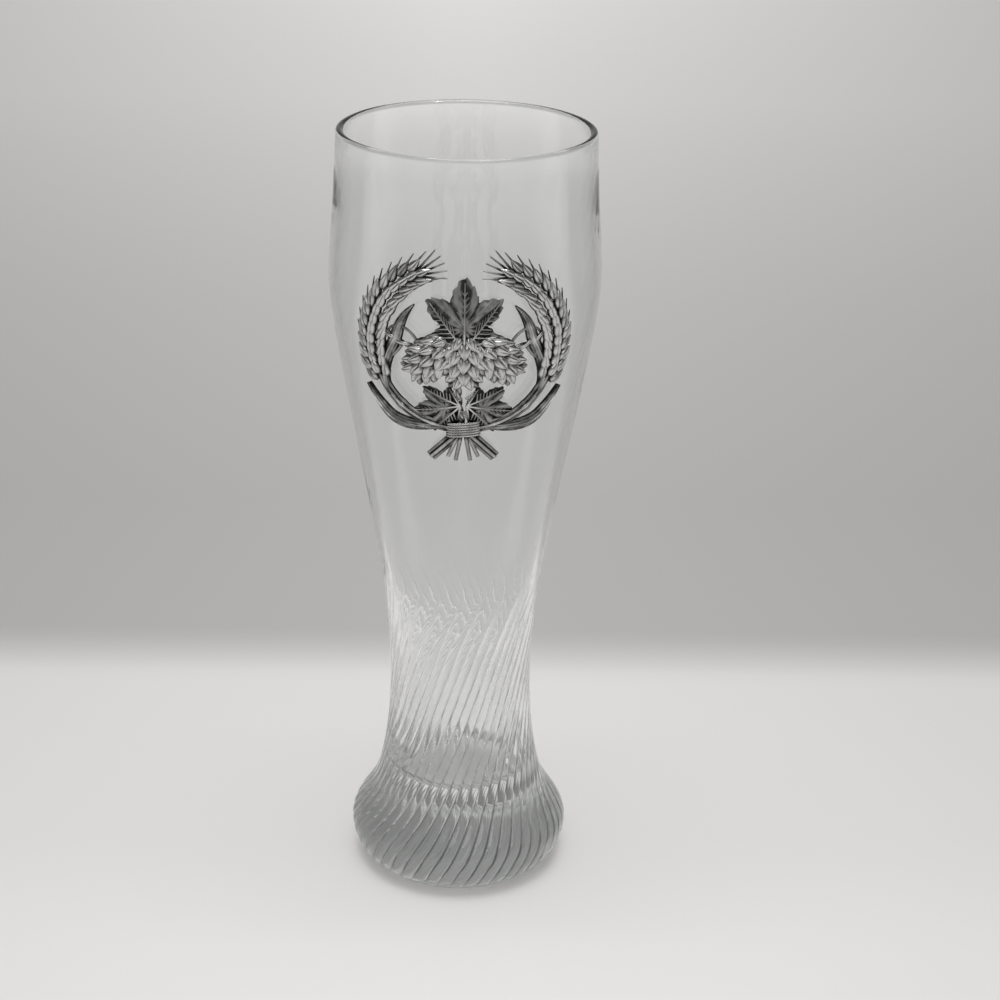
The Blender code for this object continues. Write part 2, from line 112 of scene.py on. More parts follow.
def vessel_profile():
    """Rows of (radius, groove depth, height) from the underside's middle round to the floor's middle."""
    rows = [(radius, 0.0, 0.0) for radius in np.linspace(0, CONTACT_RADIUS, 8)[:-1]]
    edge = np.linspace(0, math.pi / 2, 17)[:-1]
    below = FOOT_HEIGHT * (1 - np.cos(edge))
    swell = CONTACT_RADIUS + (RING_RADII[0] - CONTACT_RADIUS) * np.sin(edge)
    ribbed = even_steps(FOOT_HEIGHT, RIB_END, 0.00125)
    heights = np.concatenate((below, ribbed))
    radii = np.concatenate((swell, outside_radius(ribbed)))
    fades = smooth_step(heights / RIB_FOOT_FADE) * smooth_step((RIB_END - heights) / RIB_END_FADE)
    deepening = smooth_step((heights - FOOT_HEIGHT) / (COVE_HEIGHT - FOOT_HEIGHT))
    shares = RIB_FOOT_SHARE + (1 - RIB_FOOT_SHARE) * deepening
    rows += list(zip(radii, RIB_DEPTH * shares * fades, heights))
    plain = even_steps(RIB_END, RIM_HEIGHT - RIM_BEAD, 0.0035)[1:]
    rows += [(radius, 0.0, z) for radius, z in zip(outside_radius(plain), plain)]
    bead_middle = float(outside_radius(RIM_HEIGHT - RIM_BEAD)) - RIM_BEAD
    for turn in np.linspace(0, math.pi, 13)[1:-1]:
        radius = bead_middle + RIM_BEAD * math.cos(turn)
        rows.append((radius, 0.0, RIM_HEIGHT - RIM_BEAD * (1 - math.sin(turn))))
    wall_foot = FLOOR_THICKNESS + FLOOR_FILLET_RISE
    inner = even_steps(RIM_HEIGHT - RIM_BEAD, wall_foot, 0.0040)
    rows += [(radius, 0.0, z) for radius, z in zip(inside_radius(inner), inner)]
    floor_radius = float(inside_radius(wall_foot)) - FLOOR_FILLET_RUN
    for turn in np.linspace(0, math.pi / 2, 13)[1:]:
        radius = floor_radius + FLOOR_FILLET_RUN * math.cos(turn)
        rows.append((radius, 0.0, wall_foot - FLOOR_FILLET_RISE * math.sin(turn)))
    rows += [(radius, 0.0, FLOOR_THICKNESS) for radius in np.linspace(floor_radius, 0, 8)[1:]]
    return rows


def new_tree(name, kind, inputs, outputs):
    """A node tree with its own sockets, and a function that adds a node and feeds its inputs."""
    tree = bpy.data.node_groups.new(name, kind)
    for label, socket_type, value in inputs:
        socket = tree.interface.new_socket(label, in_out="INPUT", socket_type=socket_type)
        if value is not None:
            socket.default_value = value
    for label, socket_type in outputs:
        tree.interface.new_socket(label, in_out="OUTPUT", socket_type=socket_type)
    return tree, node_maker(tree)


def node_maker(tree):
    def add(kind, *feeds, named=None, **settings):
        node = tree.nodes.new(kind)
        for key, value in settings.items():
            setattr(node, key, value)
        for key, value in [*enumerate(feeds), *(named or {}).items()]:
            if isinstance(value, bpy.types.NodeSocket):
                tree.links.new(value, node.inputs[key])
            elif value is not None:
                node.inputs[key].default_value = value
        return node

    return add


def math_maker(add):
    """Short arithmetic for a tree: calculate("ADD", a, b) is the socket of a Math node's result."""

    def calculate(operation, *values):
        return add("ShaderNodeMath", *values, operation=operation).outputs[0]

    return calculate


def ease_maker(add):
    """Soft steps for a tree: eased(x, 2, 5, 0, 1) goes from 0 to 1 while x goes from 2 to 5."""

    def eased(value, low, high, first, last):
        node = add("ShaderNodeMapRange", value, low, high, first, last, interpolation_type="SMOOTHSTEP")
        return node.outputs[0]

    return eased


def swirled_vessel_tree():
    """Turns a profile about Z: grooves are cut between reeds that swirl as they rise, and painted shade lines
    are stored along them.
    """
    tree, add = new_tree(
        "swirled_vessel", "GeometryNodeTree",
        [
            ("Profile", "NodeSocketGeometry", None), ("Ribs", "NodeSocketInt", RIB_COUNT),
            ("Points per pair", "NodeSocketInt", 18), ("Lead", "NodeSocketFloat", RIB_LEAD),
            ("Groove width", "NodeSocketFloat", 0.20), ("Groove share", "NodeSocketFloat", 0.7),
            ("Crowding at grooves", "NodeSocketFloat", 0.8), ("Groove end", "NodeSocketFloat", 0.097),
            ("Groove fade", "NodeSocketFloat", 0.022), ("Second share", "NodeSocketFloat", 0.8),
            ("Line width", "NodeSocketFloat", 0.13), ("Line end", "NodeSocketFloat", 0.092),
            ("Waver", "NodeSocketFloat", 0.012), ("Waver per metre", "NodeSocketFloat", 160.0),
            ("Glass", "NodeSocketMaterial", None),
        ],
        [("Vessel", "NodeSocketGeometry")],
    )
    calculate, eased = math_maker(add), ease_maker(add)
    given = add("NodeGroupInput").outputs
    rows = add("GeometryNodeAttributeDomainSize", given["Profile"], component="MESH").outputs["Point Count"]
    pairs = calculate("DIVIDE", given["Ribs"], 2)
    columns = calculate("MULTIPLY", pairs, given["Points per pair"])
    grid = add("GeometryNodeMeshGrid", 1.0, 1.0, calculate("ADD", columns, 1), rows)
    index = add("GeometryNodeInputIndex").outputs[0]
    column = calculate("FLOOR", calculate("DIVIDE", calculate("ADD", index, 0.5), rows))
    row = calculate("SUBTRACT", index, calculate("MULTIPLY", column, rows))
    place = add("GeometryNodeInputPosition").outputs[0]
    sample = add("GeometryNodeSampleIndex", given["Profile"], data_type="FLOAT_VECTOR", domain="POINT")
    tree.links.new(place, sample.inputs["Value"])
    tree.links.new(row, sample.inputs["Index"])
    radius, depth, height = add("ShaderNodeSeparateXYZ", sample.outputs[0]).outputs
    turn = calculate("MULTIPLY", calculate("DIVIDE", column, columns), 2 * math.pi)
    wave = calculate("MULTIPLY", turn, pairs)
    crowd = calculate("MULTIPLY", calculate("SINE", calculate("ADD", wave, wave)), -0.5)
    wave = calculate("MULTIPLY_ADD", crowd, given["Crowding at grooves"], wave)
    left = calculate("DIVIDE", calculate("SUBTRACT", given["Groove end"], height), given["Groove fade"])
    left = eased(left, 0.0, 1.0, 0.0, 1.0)
    slimness = calculate("DIVIDE", calculate("DIVIDE", radius, min(RING_RADII)), given["Groove width"])
    across = calculate("MULTIPLY", calculate("SINE", wave), slimness)
    groove = calculate("EXPONENT", calculate("MULTIPLY", calculate("MULTIPLY", across, across), -1.0))
    groove = calculate("MULTIPLY", calculate("MULTIPLY", groove, left), given["Groove share"])
    reed = calculate("MULTIPLY_ADD", calculate("COSINE", calculate("ADD", wave, wave)), 0.5, 0.5)
    hollow = calculate("MULTIPLY_ADD", reed, calculate("SUBTRACT", 1.0, given["Groove share"]), groove)
    first = calculate("MULTIPLY_ADD", calculate("COSINE", wave), 0.5, 0.5)
    second = calculate("MULTIPLY", calculate("SUBTRACT", 1.0, first), given["Second share"])
    hollow = calculate("MULTIPLY", hollow, calculate("MULTIPLY_ADD", second, left, first))
    radius = calculate("SUBTRACT", radius, calculate("MULTIPLY", depth, hollow))
    swirl = calculate("MULTIPLY", calculate("DIVIDE", height, given["Lead"]), 2 * math.pi)
    angle = calculate("ADD", calculate("DIVIDE", wave, pairs), swirl)
    spot = add("ShaderNodeCombineXYZ", calculate("SINE", angle), calculate("COSINE", angle)).outputs[0]
    spot = add("ShaderNodeVectorMath", spot, named={"Scale": RING_RADII[0]}, operation="SCALE").outputs[0]
    level = add("ShaderNodeCombineXYZ", 0.0, 0.0, height).outputs[0]
    spot = add("ShaderNodeVectorMath", spot, level).outputs[0]
    settings = {"Vector": spot, "Scale": given["Waver per metre"], "Detail": 1.0}
    noise = add("ShaderNodeTexNoise", named=settings)
    sway = calculate("MULTIPLY", calculate("SUBTRACT", noise.outputs[0], 0.5), given["Waver"])
    angle = calculate("ADD", angle, calculate("MULTIPLY", sway, calculate("DIVIDE", depth, RIB_DEPTH)))
    x = calculate("MULTIPLY", radius, calculate("SINE", angle))
    y = calculate("MULTIPLY", radius, calculate("MULTIPLY", calculate("COSINE", angle), -1.0))
    turned = add("ShaderNodeCombineXYZ", x, y, height).outputs[0]
    moved = add("GeometryNodeSetPosition", grid.outputs[0], named={"Position": turned})
    # Painted shade: the groove attribute below holds dark lines along each groove's flank, patchy and
    # stronger on the foot, which the glass mixes into its colour.
    flank = calculate("DIVIDE", calculate("SINE", calculate("SUBTRACT", wave, 0.10)), given["Line width"])
    line = calculate("EXPONENT", calculate("MULTIPLY", calculate("MULTIPLY", flank, flank), -1.0))
    patchy = add("ShaderNodeMapRange", noise.outputs[0], 0.35, 0.65, 0.35, 1.1).outputs[0]
    under_end = calculate("DIVIDE", calculate("SUBTRACT", given["Line end"], height), given["Groove fade"])
    line = calculate("MULTIPLY", calculate("MULTIPLY", line, patchy), eased(under_end, 0.0, 1.0, 0.0, 1.0))
    line = calculate("MULTIPLY", line, eased(height, FOOT_HEIGHT, COVE_HEIGHT, 2.2, 0.95))
    line = calculate("MULTIPLY", line, calculate("DIVIDE", depth, RIB_DEPTH))
    label = {"Name": "groove"}
    lined = add("GeometryNodeStoreNamedAttribute", moved.outputs[0], named=label, data_type="FLOAT")
    tree.links.new(line, lined.inputs["Value"])
    closed = add("GeometryNodeMergeByDistance", lined.outputs[0], named={"Distance": 1e-6})
    smooth = add("GeometryNodeSetShadeSmooth", closed.outputs[0])
    whole = add("GeometryNodeRealizeInstances", smooth.outputs[0])
    glazed = add("GeometryNodeSetMaterial", whole.outputs[0], named={"Material": given["Glass"]})
    add("NodeGroupOutput", glazed.outputs[0])
    return tree


def plain_mesh(name, points, edges=(), faces=()):
    mesh = bpy.data.meshes.new(name)
    mesh.from_pydata([tuple(point) for point in points], edges, faces)
    thing = bpy.data.objects.new(name, mesh)
    bpy.context.scene.collection.objects.link(thing)
    return thing


def bake_nodes(thing, tree, **values):
    """Runs a node tree on an object and keeps what it makes as the object's own plain mesh."""
    modifier = thing.modifiers.new(tree.name, "NODES")
    modifier.node_group = tree
    for item in tree.interface.items_tree:
        key = item.name.lower().replace(" ", "_")
        if item.item_type == "SOCKET" and item.in_out == "INPUT" and key in values:
            modifier[item.identifier] = values[key]
    graph = bpy.context.evaluated_depsgraph_get()
    graph.update()
    made = bpy.data.meshes.new_from_object(thing.evaluated_get(graph))
    thing.modifiers.remove(modifier)
    old = thing.data
    thing.data = made
    made.name = thing.name
    bpy.data.meshes.remove(old)
    return thing


def new_material(name, **values):
    material = bpy.data.materials.new(name)
    material.use_nodes = True
    shader = material.node_tree.nodes["Principled BSDF"]
    for label, value in values.items():
        shader.inputs[label.replace("_", " ").title().replace("Ior", "IOR")].default_value = value
    return material, shader, node_maker(material.node_tree)


def clear_glass():
    material, shader, add = new_material("clear_glass", roughness=0.0, ior=1.51, transmission_weight=1.0)
    # Painted shade: the stored groove lines darken the glass's colour towards the shaded tint.
    groove = add("ShaderNodeAttribute", attribute_name="groove").outputs["Fac"]
    clear, shaded = (0.994, 1.0, 0.998, 1), (0.15, 0.165, 0.16, 1)
    place = add("ShaderNodeTexCoord").outputs["Object"]
    # Painted shade: Layer Weight darkens the glass's colour where it is seen edge-on, drawing dark edge
    # lines.
    facing = add("ShaderNodeLayerWeight").outputs["Facing"]
    edge = add("ShaderNodeMapRange", facing, 0.70, 0.95, 0.0, 0.26).outputs[0]
    share = add("ShaderNodeMath", groove, edge, operation="MAXIMUM").outputs[0]
    tint = add("ShaderNodeMix", named={0: share, 6: clear, 7: shaded}, data_type="RGBA")
    material.node_tree.links.new(tint.outputs[2], shader.inputs["Base Color"])
    body = add("ShaderNodeVolumeAbsorption", (0.80, 0.815, 0.797, 1), 8.0)
    output = material.node_tree.nodes["Material Output"]
    material.node_tree.links.new(body.outputs[0], output.inputs["Volume"])
    waves = add("ShaderNodeTexNoise", place, named={"Scale": 45.0, "Detail": 1.0})
    bump = add("ShaderNodeBump", named={"Strength": 0.2, "Distance": 0.0004, "Height": waves.outputs[0]})
    material.node_tree.links.new(bump.outputs[0], shader.inputs["Normal"])
    return material


vessel = bake_nodes(plain_mesh("glass_body", vessel_profile()), swirled_vessel_tree(), glass=clear_glass())
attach(vessel, "root")
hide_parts("glass_vessel")


# Glue pads: three dabs of clear glue that have set between the bowl and the back of the badge, one behind the
# sprig of hops and one behind each ear. They were pressed flat, so their edges bulge and run a little.

BADGE_HEIGHT = 0.187
SEAT_GAP = 0.0003
GLUE_THICKNESS = 0.0004
WREATH_HALF_WIDTH = 0.028
WREATH_HALF_HEIGHT = 0.0255
WREATH_LIFT = 0.003
SPRIG_LIFT = 0.0055
GLUE_SPRIG_HALF = (0.0065, 0.0090)
GLUE_EAR_HALF = (0.0035, 0.0090)
GLUE_EAR_PLACE = 96
GLUE_RUN = 0.035


def wreath_point(turn, side):
    """The wreath's middle line on the flat badge: turn is 0 at its foot and 180 degrees at its top."""
    turn = np.radians(turn)
    across = side * WREATH_HALF_WIDTH * np.sin(turn)
    return np.array((across, WREATH_LIFT - WREATH_HALF_HEIGHT * np.cos(turn)))


def bent_round_bowl(points, standoff):
    """Flat points, x across, y up and z out, laid on the front of the bowl a standoff off the glass."""
    points = np.asarray(points, float)
    heights = BADGE_HEIGHT + points[:, 1]
    seats = outside_radius(heights) + standoff
    angles = points[:, 0] / seats
    reach = seats + points[:, 2]
    return np.column_stack((reach * np.sin(angles), -reach * np.cos(angles), heights))


def closed_skin(rings):
    """Points and faces of a skin over rings of points, with a point in the middle of both end rings."""
    rings = np.asarray(rings, float)
    count, around = rings.shape[:2]
    points = np.vstack((rings.reshape(-1, 3), rings[0].mean(axis=0), rings[-1].mean(axis=0)))
    first, last = count * around, count * around + 1
    faces = []
    for i in range(around):
        j = (i + 1) % around
        for low in range(0, (count - 1) * around, around):
            faces.append((low + i, low + j, low + around + j, low + around + i))
        faces += [(j, i, first), ((count - 1) * around + i, (count - 1) * around + j, last)]
    return points, faces


def mottle_group():
    """A soft cloudy value between two limits, for the patches of a cast, poured or rubbed surface."""
    group, add = new_tree(
        "mottle", "ShaderNodeTree",
        [
            ("Scale", "NodeSocketFloat", 200.0),
            ("Low", "NodeSocketFloat", 0.0),
            ("High", "NodeSocketFloat", 1.0),
        ],
        [("Value", "NodeSocketFloat")],
    )
    given = add("NodeGroupInput").outputs
    place = add("ShaderNodeTexCoord").outputs["Object"]
    settings = {"Vector": place, "Scale": given["Scale"], "Detail": 4.0}
    cloud = add("ShaderNodeTexNoise", named=settings).outputs[0]
    value = add("ShaderNodeMapRange", cloud, 0.3, 0.7, given["Low"], given["High"]).outputs[0]
    add("NodeGroupOutput", value)
    return group


mottle = mottle_group()


def clear_glue():
    material, shader, add = new_material("clear_glue", ior=1.46, transmission_weight=0.85)
    links = material.node_tree.links
    milk = add("ShaderNodeGroup", 260.0, 0.0, 1.0, node_tree=mottle).outputs[0]
    clear, milky = (0.93, 0.93, 0.90, 1), (0.78, 0.79, 0.75, 1)
    tint = add("ShaderNodeMix", named={0: milk, 6: clear, 7: milky}, data_type="RGBA")
    links.new(tint.outputs[2], shader.inputs["Base Color"])
    haze = add("ShaderNodeGroup", 420.0, 0.12, 0.38, node_tree=mottle).outputs[0]
    links.new(haze, shader.inputs["Roughness"])
    return material


def glue_pad(name, middle, half, material):
    turns = np.linspace(0, 2 * math.pi, 48, endpoint=False)
    run = 1 + GLUE_RUN * (np.sin(3 * turns + 1) + 0.6 * np.sin(5 * turns))
    edge = np.column_stack((half[0] * run * np.cos(turns), half[1] * run * np.sin(turns)))
    rings = []
    for share, level in ((0.3, 0), (0.88, 0), (0.97, 0.2), (1, 0.5), (0.97, 0.8), (0.88, 0.98), (0.3, 1)):
        rings.append(np.column_stack((middle + share * edge, np.full(len(turns), level * GLUE_THICKNESS))))
    points, faces = closed_skin(rings)
    pad = plain_mesh(name.replace("adhesive", "glue"), bent_round_bowl(points, SEAT_GAP), faces=faces)
    pad.data.shade_smooth()
    pad.data.materials.append(material)
    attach(pad, "root")
    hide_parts(name)


glue = clear_glue()
glue_pad("adhesive_pad_middle", np.array((0, SPRIG_LIFT)), GLUE_SPRIG_HALF, glue)
for name, side in (("adhesive_pad_left", -1), ("adhesive_pad_right", 1)):
    glue_pad(name, wreath_point(GLUE_EAR_PLACE, side), GLUE_EAR_HALF, glue)


# Badge: one openwork casting in pewter, two ears of wheat tied into a wreath round a sprig of hops. It is
# cast flat and bent to the bowl, then blackened all over and rubbed bright again on its high points.

BADGE_STANDOFF = SEAT_GAP + GLUE_THICKNESS + SEAT_GAP
EAR_START = 62
EAR_TURN = 96
EAR_ROWS = 13
EAR_HALF_WIDTH = 0.0053
KERNEL_LENGTH = 0.0066
KERNEL_HEIGHT = 0.0017
AWN_LENGTH = 0.0100
STRAW_RADIUS = 0.00062
STRAW_LENGTH = 0.0125
LEAF_HEIGHT = 0.0021
TOP_LEAF_LENGTH = 0.0225
SIDE_LEAF_LENGTH = 0.0150
BLADE_HALF_WIDTH = 0.0020
HOP_LENGTH = 0.0160
HOP_HALF_WIDTH = 0.0056
HOP_HEIGHT = 0.0036
HOP_ROWS = 7
BINE_RADIUS = 0.00058
BAND_HALF_WIDTH = 0.0047
BAND_HALF_HEIGHT = 0.0024
BAND_HEIGHT = 0.0026
CORD_RADIUS = 0.00042
FOOT = wreath_point(0, 1)


def set_out_tree():
    """Sets one motif out on given places, each with its own facing and size, and sways each a little."""
    tree, add = new_tree(
        "set_out", "GeometryNodeTree",
        [
            ("Places", "NodeSocketGeometry", None), ("Motif", "NodeSocketObject", None),
            ("Sway", "NodeSocketFloat", 0.06), ("Seed", "NodeSocketInt", 7),
            ("Metal", "NodeSocketMaterial", None),
        ],
        [("Motifs", "NodeSocketGeometry")],
    )
    given = add("NodeGroupInput").outputs
    motif = add("GeometryNodeObjectInfo", given["Motif"]).outputs["Geometry"]
    facing = add("GeometryNodeInputNamedAttribute", "facing", data_type="FLOAT_VECTOR").outputs[0]
    size = add("GeometryNodeInputNamedAttribute", "size", data_type="FLOAT_VECTOR").outputs[0]
    most = add("ShaderNodeCombineXYZ", given["Sway"], given["Sway"], given["Sway"]).outputs[0]
    least = add("ShaderNodeVectorMath", most, named={"Scale": -1.0}, operation="SCALE").outputs[0]
    seed = {"Seed": given["Seed"]}
    sway = add("FunctionNodeRandomValue", least, most, named=seed, data_type="FLOAT_VECTOR").outputs[0]
    swayed = add("ShaderNodeVectorMath", facing, sway).outputs[0]
    turn = add("FunctionNodeEulerToRotation", swayed).outputs[0]
    named = {"Instance": motif, "Rotation": turn, "Scale": size}
    copies = add("GeometryNodeInstanceOnPoints", given["Places"], named=named).outputs[0]
    whole = add("GeometryNodeRealizeInstances", copies).outputs[0]
    cast = add("GeometryNodeSetMaterial", whole, named={"Material": given["Metal"]}).outputs[0]
    add("NodeGroupOutput", cast)
    return tree


def set_out(name, motif, places, metal):
    """A mesh of a motif repeated; each place is (position, facing, size)."""
    holder = plain_mesh(name, [position for position, facing, size in places])
    for label, column in (("facing", 1), ("size", 2)):
        attribute = holder.data.attributes.new(label, "FLOAT_VECTOR", "POINT")
        attribute.data.foreach_set("vector", np.array([place[column] for place in places], float).ravel())
    sample = plain_mesh(name + "_motif", motif[0], faces=motif[1])
    made = bake_nodes(holder, set_out_nodes, motif=sample, metal=metal)
    bpy.data.objects.remove(sample)
    return made


def round_bars_tree():
    """Round bars along drawn lines, as thick as each point of the line says."""
    tree, add = new_tree(
        "round_bars", "GeometryNodeTree",
        [
            ("Lines", "NodeSocketGeometry", None),
            ("Sides", "NodeSocketInt", 8),
            ("Metal", "NodeSocketMaterial", None),
        ],
        [("Bars", "NodeSocketGeometry")],
    )
    given = add("NodeGroupInput").outputs
    curve = add("GeometryNodeMeshToCurve", given["Lines"]).outputs[0]
    thick = add("GeometryNodeInputNamedAttribute", "thick", data_type="FLOAT").outputs[0]
    ring = add("GeometryNodeCurvePrimitiveCircle", given["Sides"], named={"Radius": 1.0}).outputs[0]
    bars = add("GeometryNodeCurveToMesh", curve, ring, named={"Scale": thick, "Fill Caps": True}).outputs[0]
    whole = add("GeometryNodeRealizeInstances", bars).outputs[0]
    cast = add("GeometryNodeSetMaterial", whole, named={"Material": given["Metal"]}).outputs[0]
    add("NodeGroupOutput", cast)
    return tree


def round_bars(name, bars, metal):
    """A mesh of bars; each bar is (points of its line, their radii)."""
    points = np.vstack([line for line, radii in bars])
    starts = np.cumsum([0] + [len(line) for line, radii in bars])
    edges = [(i, i + 1) for low, high in zip(starts, starts[1:]) for i in range(low, high - 1)]
    holder = plain_mesh(name, points, edges)
    thick = holder.data.attributes.new("thick", "FLOAT", "POINT")
    widths = [np.broadcast_to(radii, len(line)) for line, radii in bars]
    thick.data.foreach_set("value", np.concatenate(widths))
    return bake_nodes(holder, round_bars_nodes, metal=metal)


set_out_nodes = set_out_tree()
round_bars_nodes = round_bars_tree()


def turned(points, at, angle):
    """Points of a motif that grows along +Y, turned clockwise by an angle and moved to a place."""
    points = np.asarray(points, float)
    x, y = points[:, 0], points[:, 1]
    across = at[0] + x * math.cos(angle) + y * math.sin(angle)
    along = at[1] - x * math.sin(angle) + y * math.cos(angle)
    moved = np.column_stack((across, along))
    return np.column_stack((moved, points[:, 2])) if points.shape[1] == 3 else moved


def lifted(line, level):
    line = np.asarray(line, float)
    return np.column_stack((line, np.broadcast_to(level, len(line))))


def headings(line):
    """Clockwise angles from +Y of the way that a flat line runs at each of its points."""
    along = np.gradient(np.asarray(line, float), axis=0)
    return np.arctan2(along[:, 0], along[:, 1])


def strands(line, level, count, radius, lay, turns):
    """Bars laid side by side along a flat line, or twisted round each other where turns isn't 0."""
    way = headings(line)
    share = np.linspace(0, 1, len(line))
    bars = []
    for strand in range(count):
        spin = 2 * math.pi * (strand / count + turns * share)
        out = lay * np.cos(spin) if turns else np.full(len(line), lay * (2 * strand - count + 1))
        up = lay * np.sin(spin) if turns else 0.5 * radius * np.cos(math.pi * (strand - (count - 1) / 2))
        flat = np.asarray(line) + np.column_stack((np.cos(way) * out, -np.sin(way) * out))
        bars.append((lifted(flat, level + up), radius))
    return bars


def kernel_motif():
    """A grain in its husk, a pointed drop along +Y with a crease down its back."""
    turns = np.linspace(0, 2 * math.pi, 16, endpoint=False)
    rings = []
    for share in np.linspace(0.02, 0.995, 11):
        swell = math.sin(math.pi * share**0.8) ** 0.75 * (1 - 0.35 * share)
        crease = 0.30 * np.exp(-((np.cos(turns) / 0.22) ** 2)) * np.clip(np.sin(turns), 0, 1) * swell
        x, z = swell * np.cos(turns), swell * np.sin(turns) - crease
        rings.append(np.column_stack((0.27 * x, np.full(16, share), z)))
    return closed_skin(rings)


def bract_motif():
    """A hop bract, a domed scale along +Y that ends in a point, with a rib down its middle."""
    across = np.linspace(-1, 1, 15)
    rings = []
    for share in np.linspace(0.0, 1.0, 9):
        half = 0.42 * math.sin(math.pi * (0.18 + 0.80 * share**0.85)) ** 0.8
        dome = 0.22 * math.sin(math.pi * (0.10 + 0.75 * share)) * (1 - across**2) ** 0.6
        rib = 0.07 * np.exp(-((across / 0.16) ** 2)) * (1 - share)
        vein = 0.028 * np.cos(3.5 * math.pi * across) * (1 - across**2)
        top = np.column_stack((half * across, np.full(15, share), 0.05 + dome + rib + vein))
        under = np.column_stack((half * across[::-1], np.full(15, share), np.full(15, -0.10)))
        rings.append(np.vstack((top, under)))
    return closed_skin(rings)


def ear(side, metal):
    """Rows of three grains that overlap up the wreath, with a bristle from each outer one."""
    places, bars = [], []
    for row in range(EAR_ROWS):
        for lane in (-1, 1, 0):
            share = (row + 0.5 * (lane == 0)) / (EAR_ROWS - 0.5)
            turn = EAR_START + (EAR_TURN - 8) * share
            swell = 0.45 + 0.55 * math.sin(math.pi * (0.22 + 0.70 * share))
            ahead = wreath_point(turn + 1, side) - wreath_point(turn, side)
            way = math.atan2(*ahead)
            out = lane * 0.44 * EAR_HALF_WIDTH * swell
            root = wreath_point(turn, side) + out * np.array((math.cos(way), -math.sin(way)))
            splay = way + lane * 0.36
            length = KERNEL_LENGTH * (0.62 + 0.38 * swell) * (1 if lane else 0.92)
            level = 0.0009 if lane else 0.0014
            size = (length, length, KERNEL_HEIGHT * (0.7 + 0.3 * swell))
            places.append(((*root, level), (0.10, 0, -splay), size))
            if lane:
                steps = np.linspace(0.75, 1.42, 7)[:, None] * length
                line = root + steps * np.array((math.sin(splay), math.cos(splay)))
                bars.append((lifted(line, np.linspace(0.0013, 0.0006, 7)), np.linspace(0.00034, 0.00014, 7)))
    for fan in (-26, -13, 0, 13, 26):
        root = wreath_point(EAR_START + EAR_TURN - 10, side)
        way = math.atan2(*(wreath_point(EAR_START + EAR_TURN, side) - root)) + math.radians(fan)
        line = root + np.linspace(0, AWN_LENGTH, 9)[:, None] * np.array((math.sin(way), math.cos(way)))
        bars.append((lifted(line, np.linspace(0.0014, 0.0006, 9)), np.linspace(0.00050, 0.00018, 9)))
    return [set_out("ear", kernel_motif(), places, metal), round_bars("bristles", bars, metal)]


def hop_cone(at, angle, height, metal):
    """Bracts shingled round a swelling core, from the stalk to the tip."""
    turns = np.linspace(0, 2 * math.pi, 20, endpoint=False)
    core, places = [], []
    for bow in np.linspace(0.12, math.pi - 0.10, 10):
        half = 0.72 * HOP_HALF_WIDTH * math.sin(bow) * (1 + 0.22 * math.cos(bow))
        along = np.full(20, HOP_LENGTH / 2 * (1 - math.cos(bow)))
        thick = 0.62 * height * math.sin(bow) ** 0.7
        core.append(np.column_stack((half * np.cos(turns), along, thick * np.sin(turns))))
    points, faces = closed_skin(core)
    for row in reversed(range(HOP_ROWS)):
        share = (row + 0.15) / (HOP_ROWS + 0.6)
        bow = math.acos(1 - 2 * min(share + 0.10, 0.97))
        half = HOP_HALF_WIDTH * math.sin(bow) * (1 + 0.22 * math.cos(bow))
        for lean in np.radians((-66, 0, 66) if row % 2 else (-88, -34, 34, 88)):
            lift = 0.55 * height * math.sin(bow) ** 0.7 * math.cos(lean)
            root = (0.70 * half * math.sin(lean), HOP_LENGTH * share, lift)
            length = HOP_LENGTH * 0.30 * (0.72 + 0.28 * math.sin(bow))
            yaw = -angle - 0.42 * math.sin(lean)
            size = (length * 0.95, length, length * 0.9)
            places.append((turned([root], at, angle)[0], (0.20, lean * 0.55, yaw), size))
    body = plain_mesh("hop_core", turned(points, at, angle), faces=faces)
    body.data.materials.append(metal)
    return [body, set_out("hop_bracts", bract_motif(), places, metal)]


